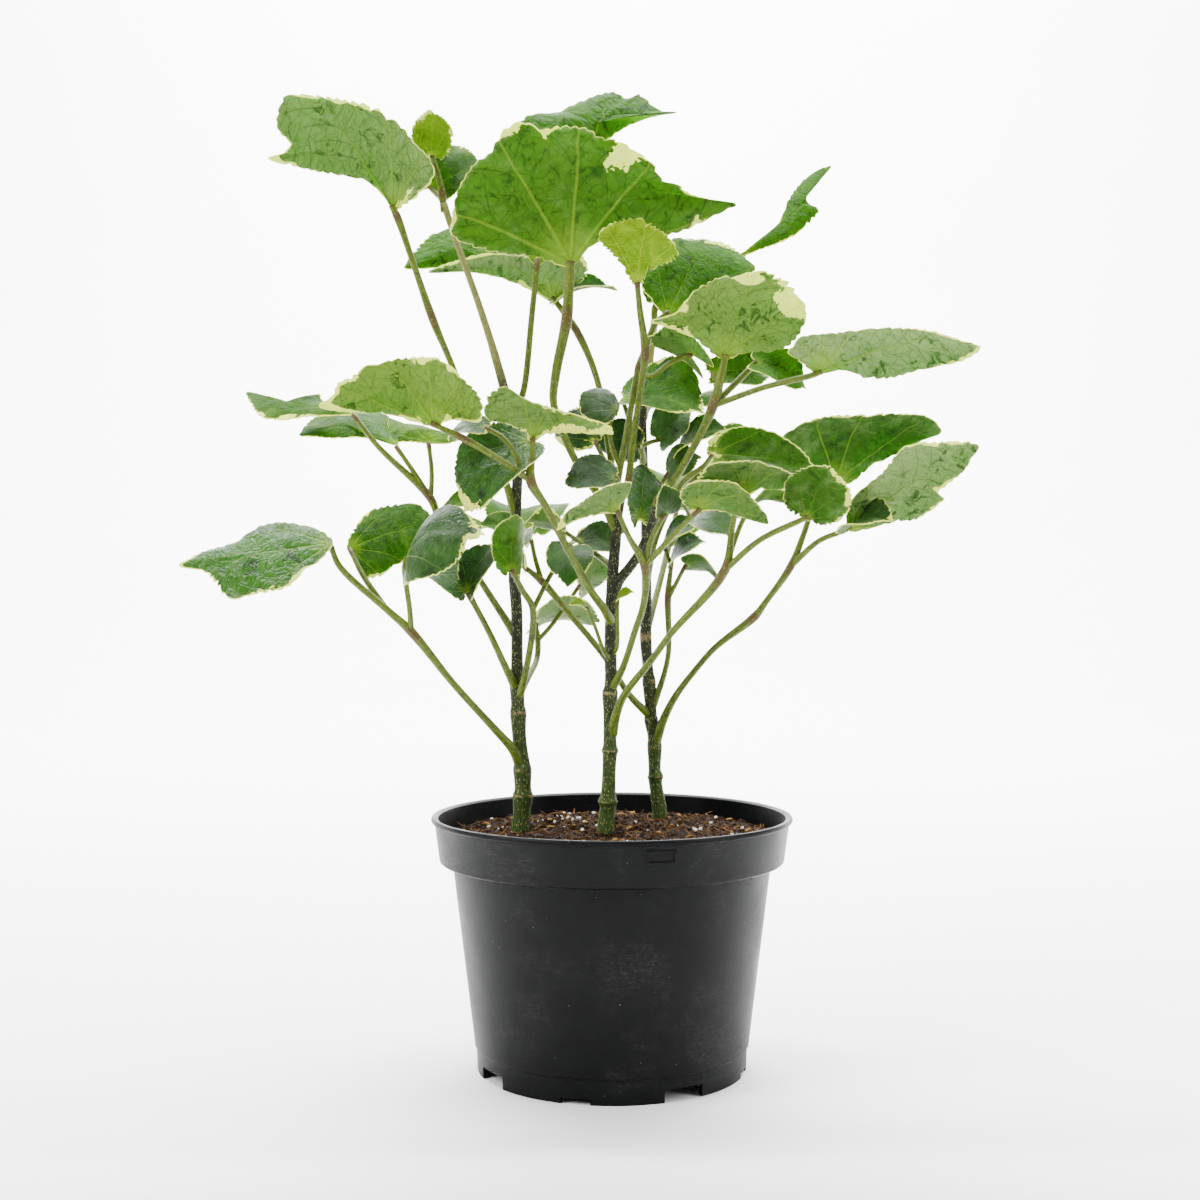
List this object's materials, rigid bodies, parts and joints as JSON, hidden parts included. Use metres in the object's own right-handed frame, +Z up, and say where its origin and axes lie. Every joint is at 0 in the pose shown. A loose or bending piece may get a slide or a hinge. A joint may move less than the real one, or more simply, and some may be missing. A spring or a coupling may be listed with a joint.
{
  "type": "potted aralia",
  "caption": "Variegated aralia with round, toothed, cream-edged compound leaves on ringed woody canes, growing in a plain black nursery pot.",
  "frame": {"origin": "centre of the flat disc under the pot that the part stands on", "axes": "+Z up along the pot's axis; -Y towards the front of the plant; +X to the right"},
  "size_m": [0.3603, 0.2087, 0.462],
  "materials": {
    "pot": "satin black with dust and faint scuffs",
    "soil": "matt dark brown potting mix with fibres and white perlite",
    "bark": "grey-green bark with pale lenticels and tan leaf scars",
    "leaf_under": "matt pale green underside with cream edges",
    "leaf_upper": "glossy dark green with lighter veins and cream edges",
    "leaf_young": "thin yellow-green young blade"
  },
  "bodies": {
    "root": {"pot": "pot", "soil": "soil", "cane_left": "bark", "cane_middle": "bark", "cane_right": "bark", "leaf_left_high": "leaf_under", "shoot_left_top": "leaf_young", "leaf_left_low": "leaf_upper", "leaf_left_back": "leaf_under", "leaf_left_inner": "leaf_upper", "leaf_left_front": "leaf_under", "leaf_left_under": "leaf_under", "leaf_left_rear": "leaf_upper", "leaf_centre_big": "leaf_under", "leaf_centre_back": "leaf_upper", "leaf_centre_left": "leaf_under", "shoot_middle_right": "leaf_young", "shoot_middle_left": "leaf_upper", "leaf_right_high": "leaf_under", "leaf_middle_left": "leaf_under", "leaf_middle_small": "leaf_upper", "leaf_middle_front": "leaf_under", "leaf_right_front": "leaf_under", "leaf_right_low": "leaf_under", "leaf_right_small": "leaf_upper", "leaf_right_reaching": "leaf_under", "leaf_right_middle": "leaf_under", "leaf_right_inner": "leaf_upper", "leaf_right_dark": "leaf_upper", "leaf_right_crown": "leaf_under", "leaf_right_rear": "leaf_upper", "leaf_right_rear_high": "leaf_upper", "leaf_right_side": "leaf_upper", "bud_shoot_left": "leaf_young", "bud_shoot_right": "leaf_young"}
  },
  "joints": []
}
